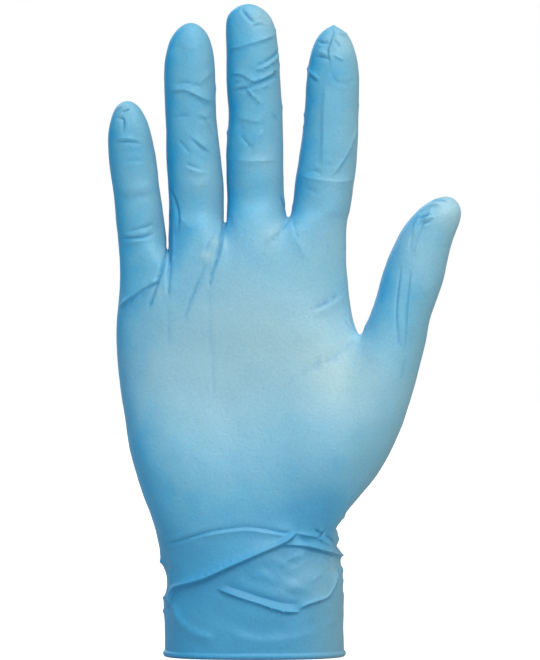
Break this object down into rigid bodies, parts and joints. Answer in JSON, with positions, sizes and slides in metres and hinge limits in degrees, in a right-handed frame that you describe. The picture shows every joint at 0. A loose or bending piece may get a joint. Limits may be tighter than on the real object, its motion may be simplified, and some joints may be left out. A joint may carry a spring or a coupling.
{
  "type": "nitrile examination glove",
  "caption": "Seamless disposable nitrile exam glove in its worn form, fingers up and thumb out, with a loose folded cuff, a rolled bead and an open hollow",
  "frame": {"origin": "middle of the cuff's mouth, in the plane of the bead's lower edge", "axes": "+Z from the cuff to the fingertips, +X towards the thumb, -Y is the palm side and +Y the back of the hand"},
  "size_m": [0.1299, 0.048, 0.2397],
  "materials": {
    "nitrile_film": "light blue dipped nitrile film, micro-roughened, satin"
  },
  "bodies": {
    "root": {"glove": "nitrile_film"}
  },
  "joints": []
}
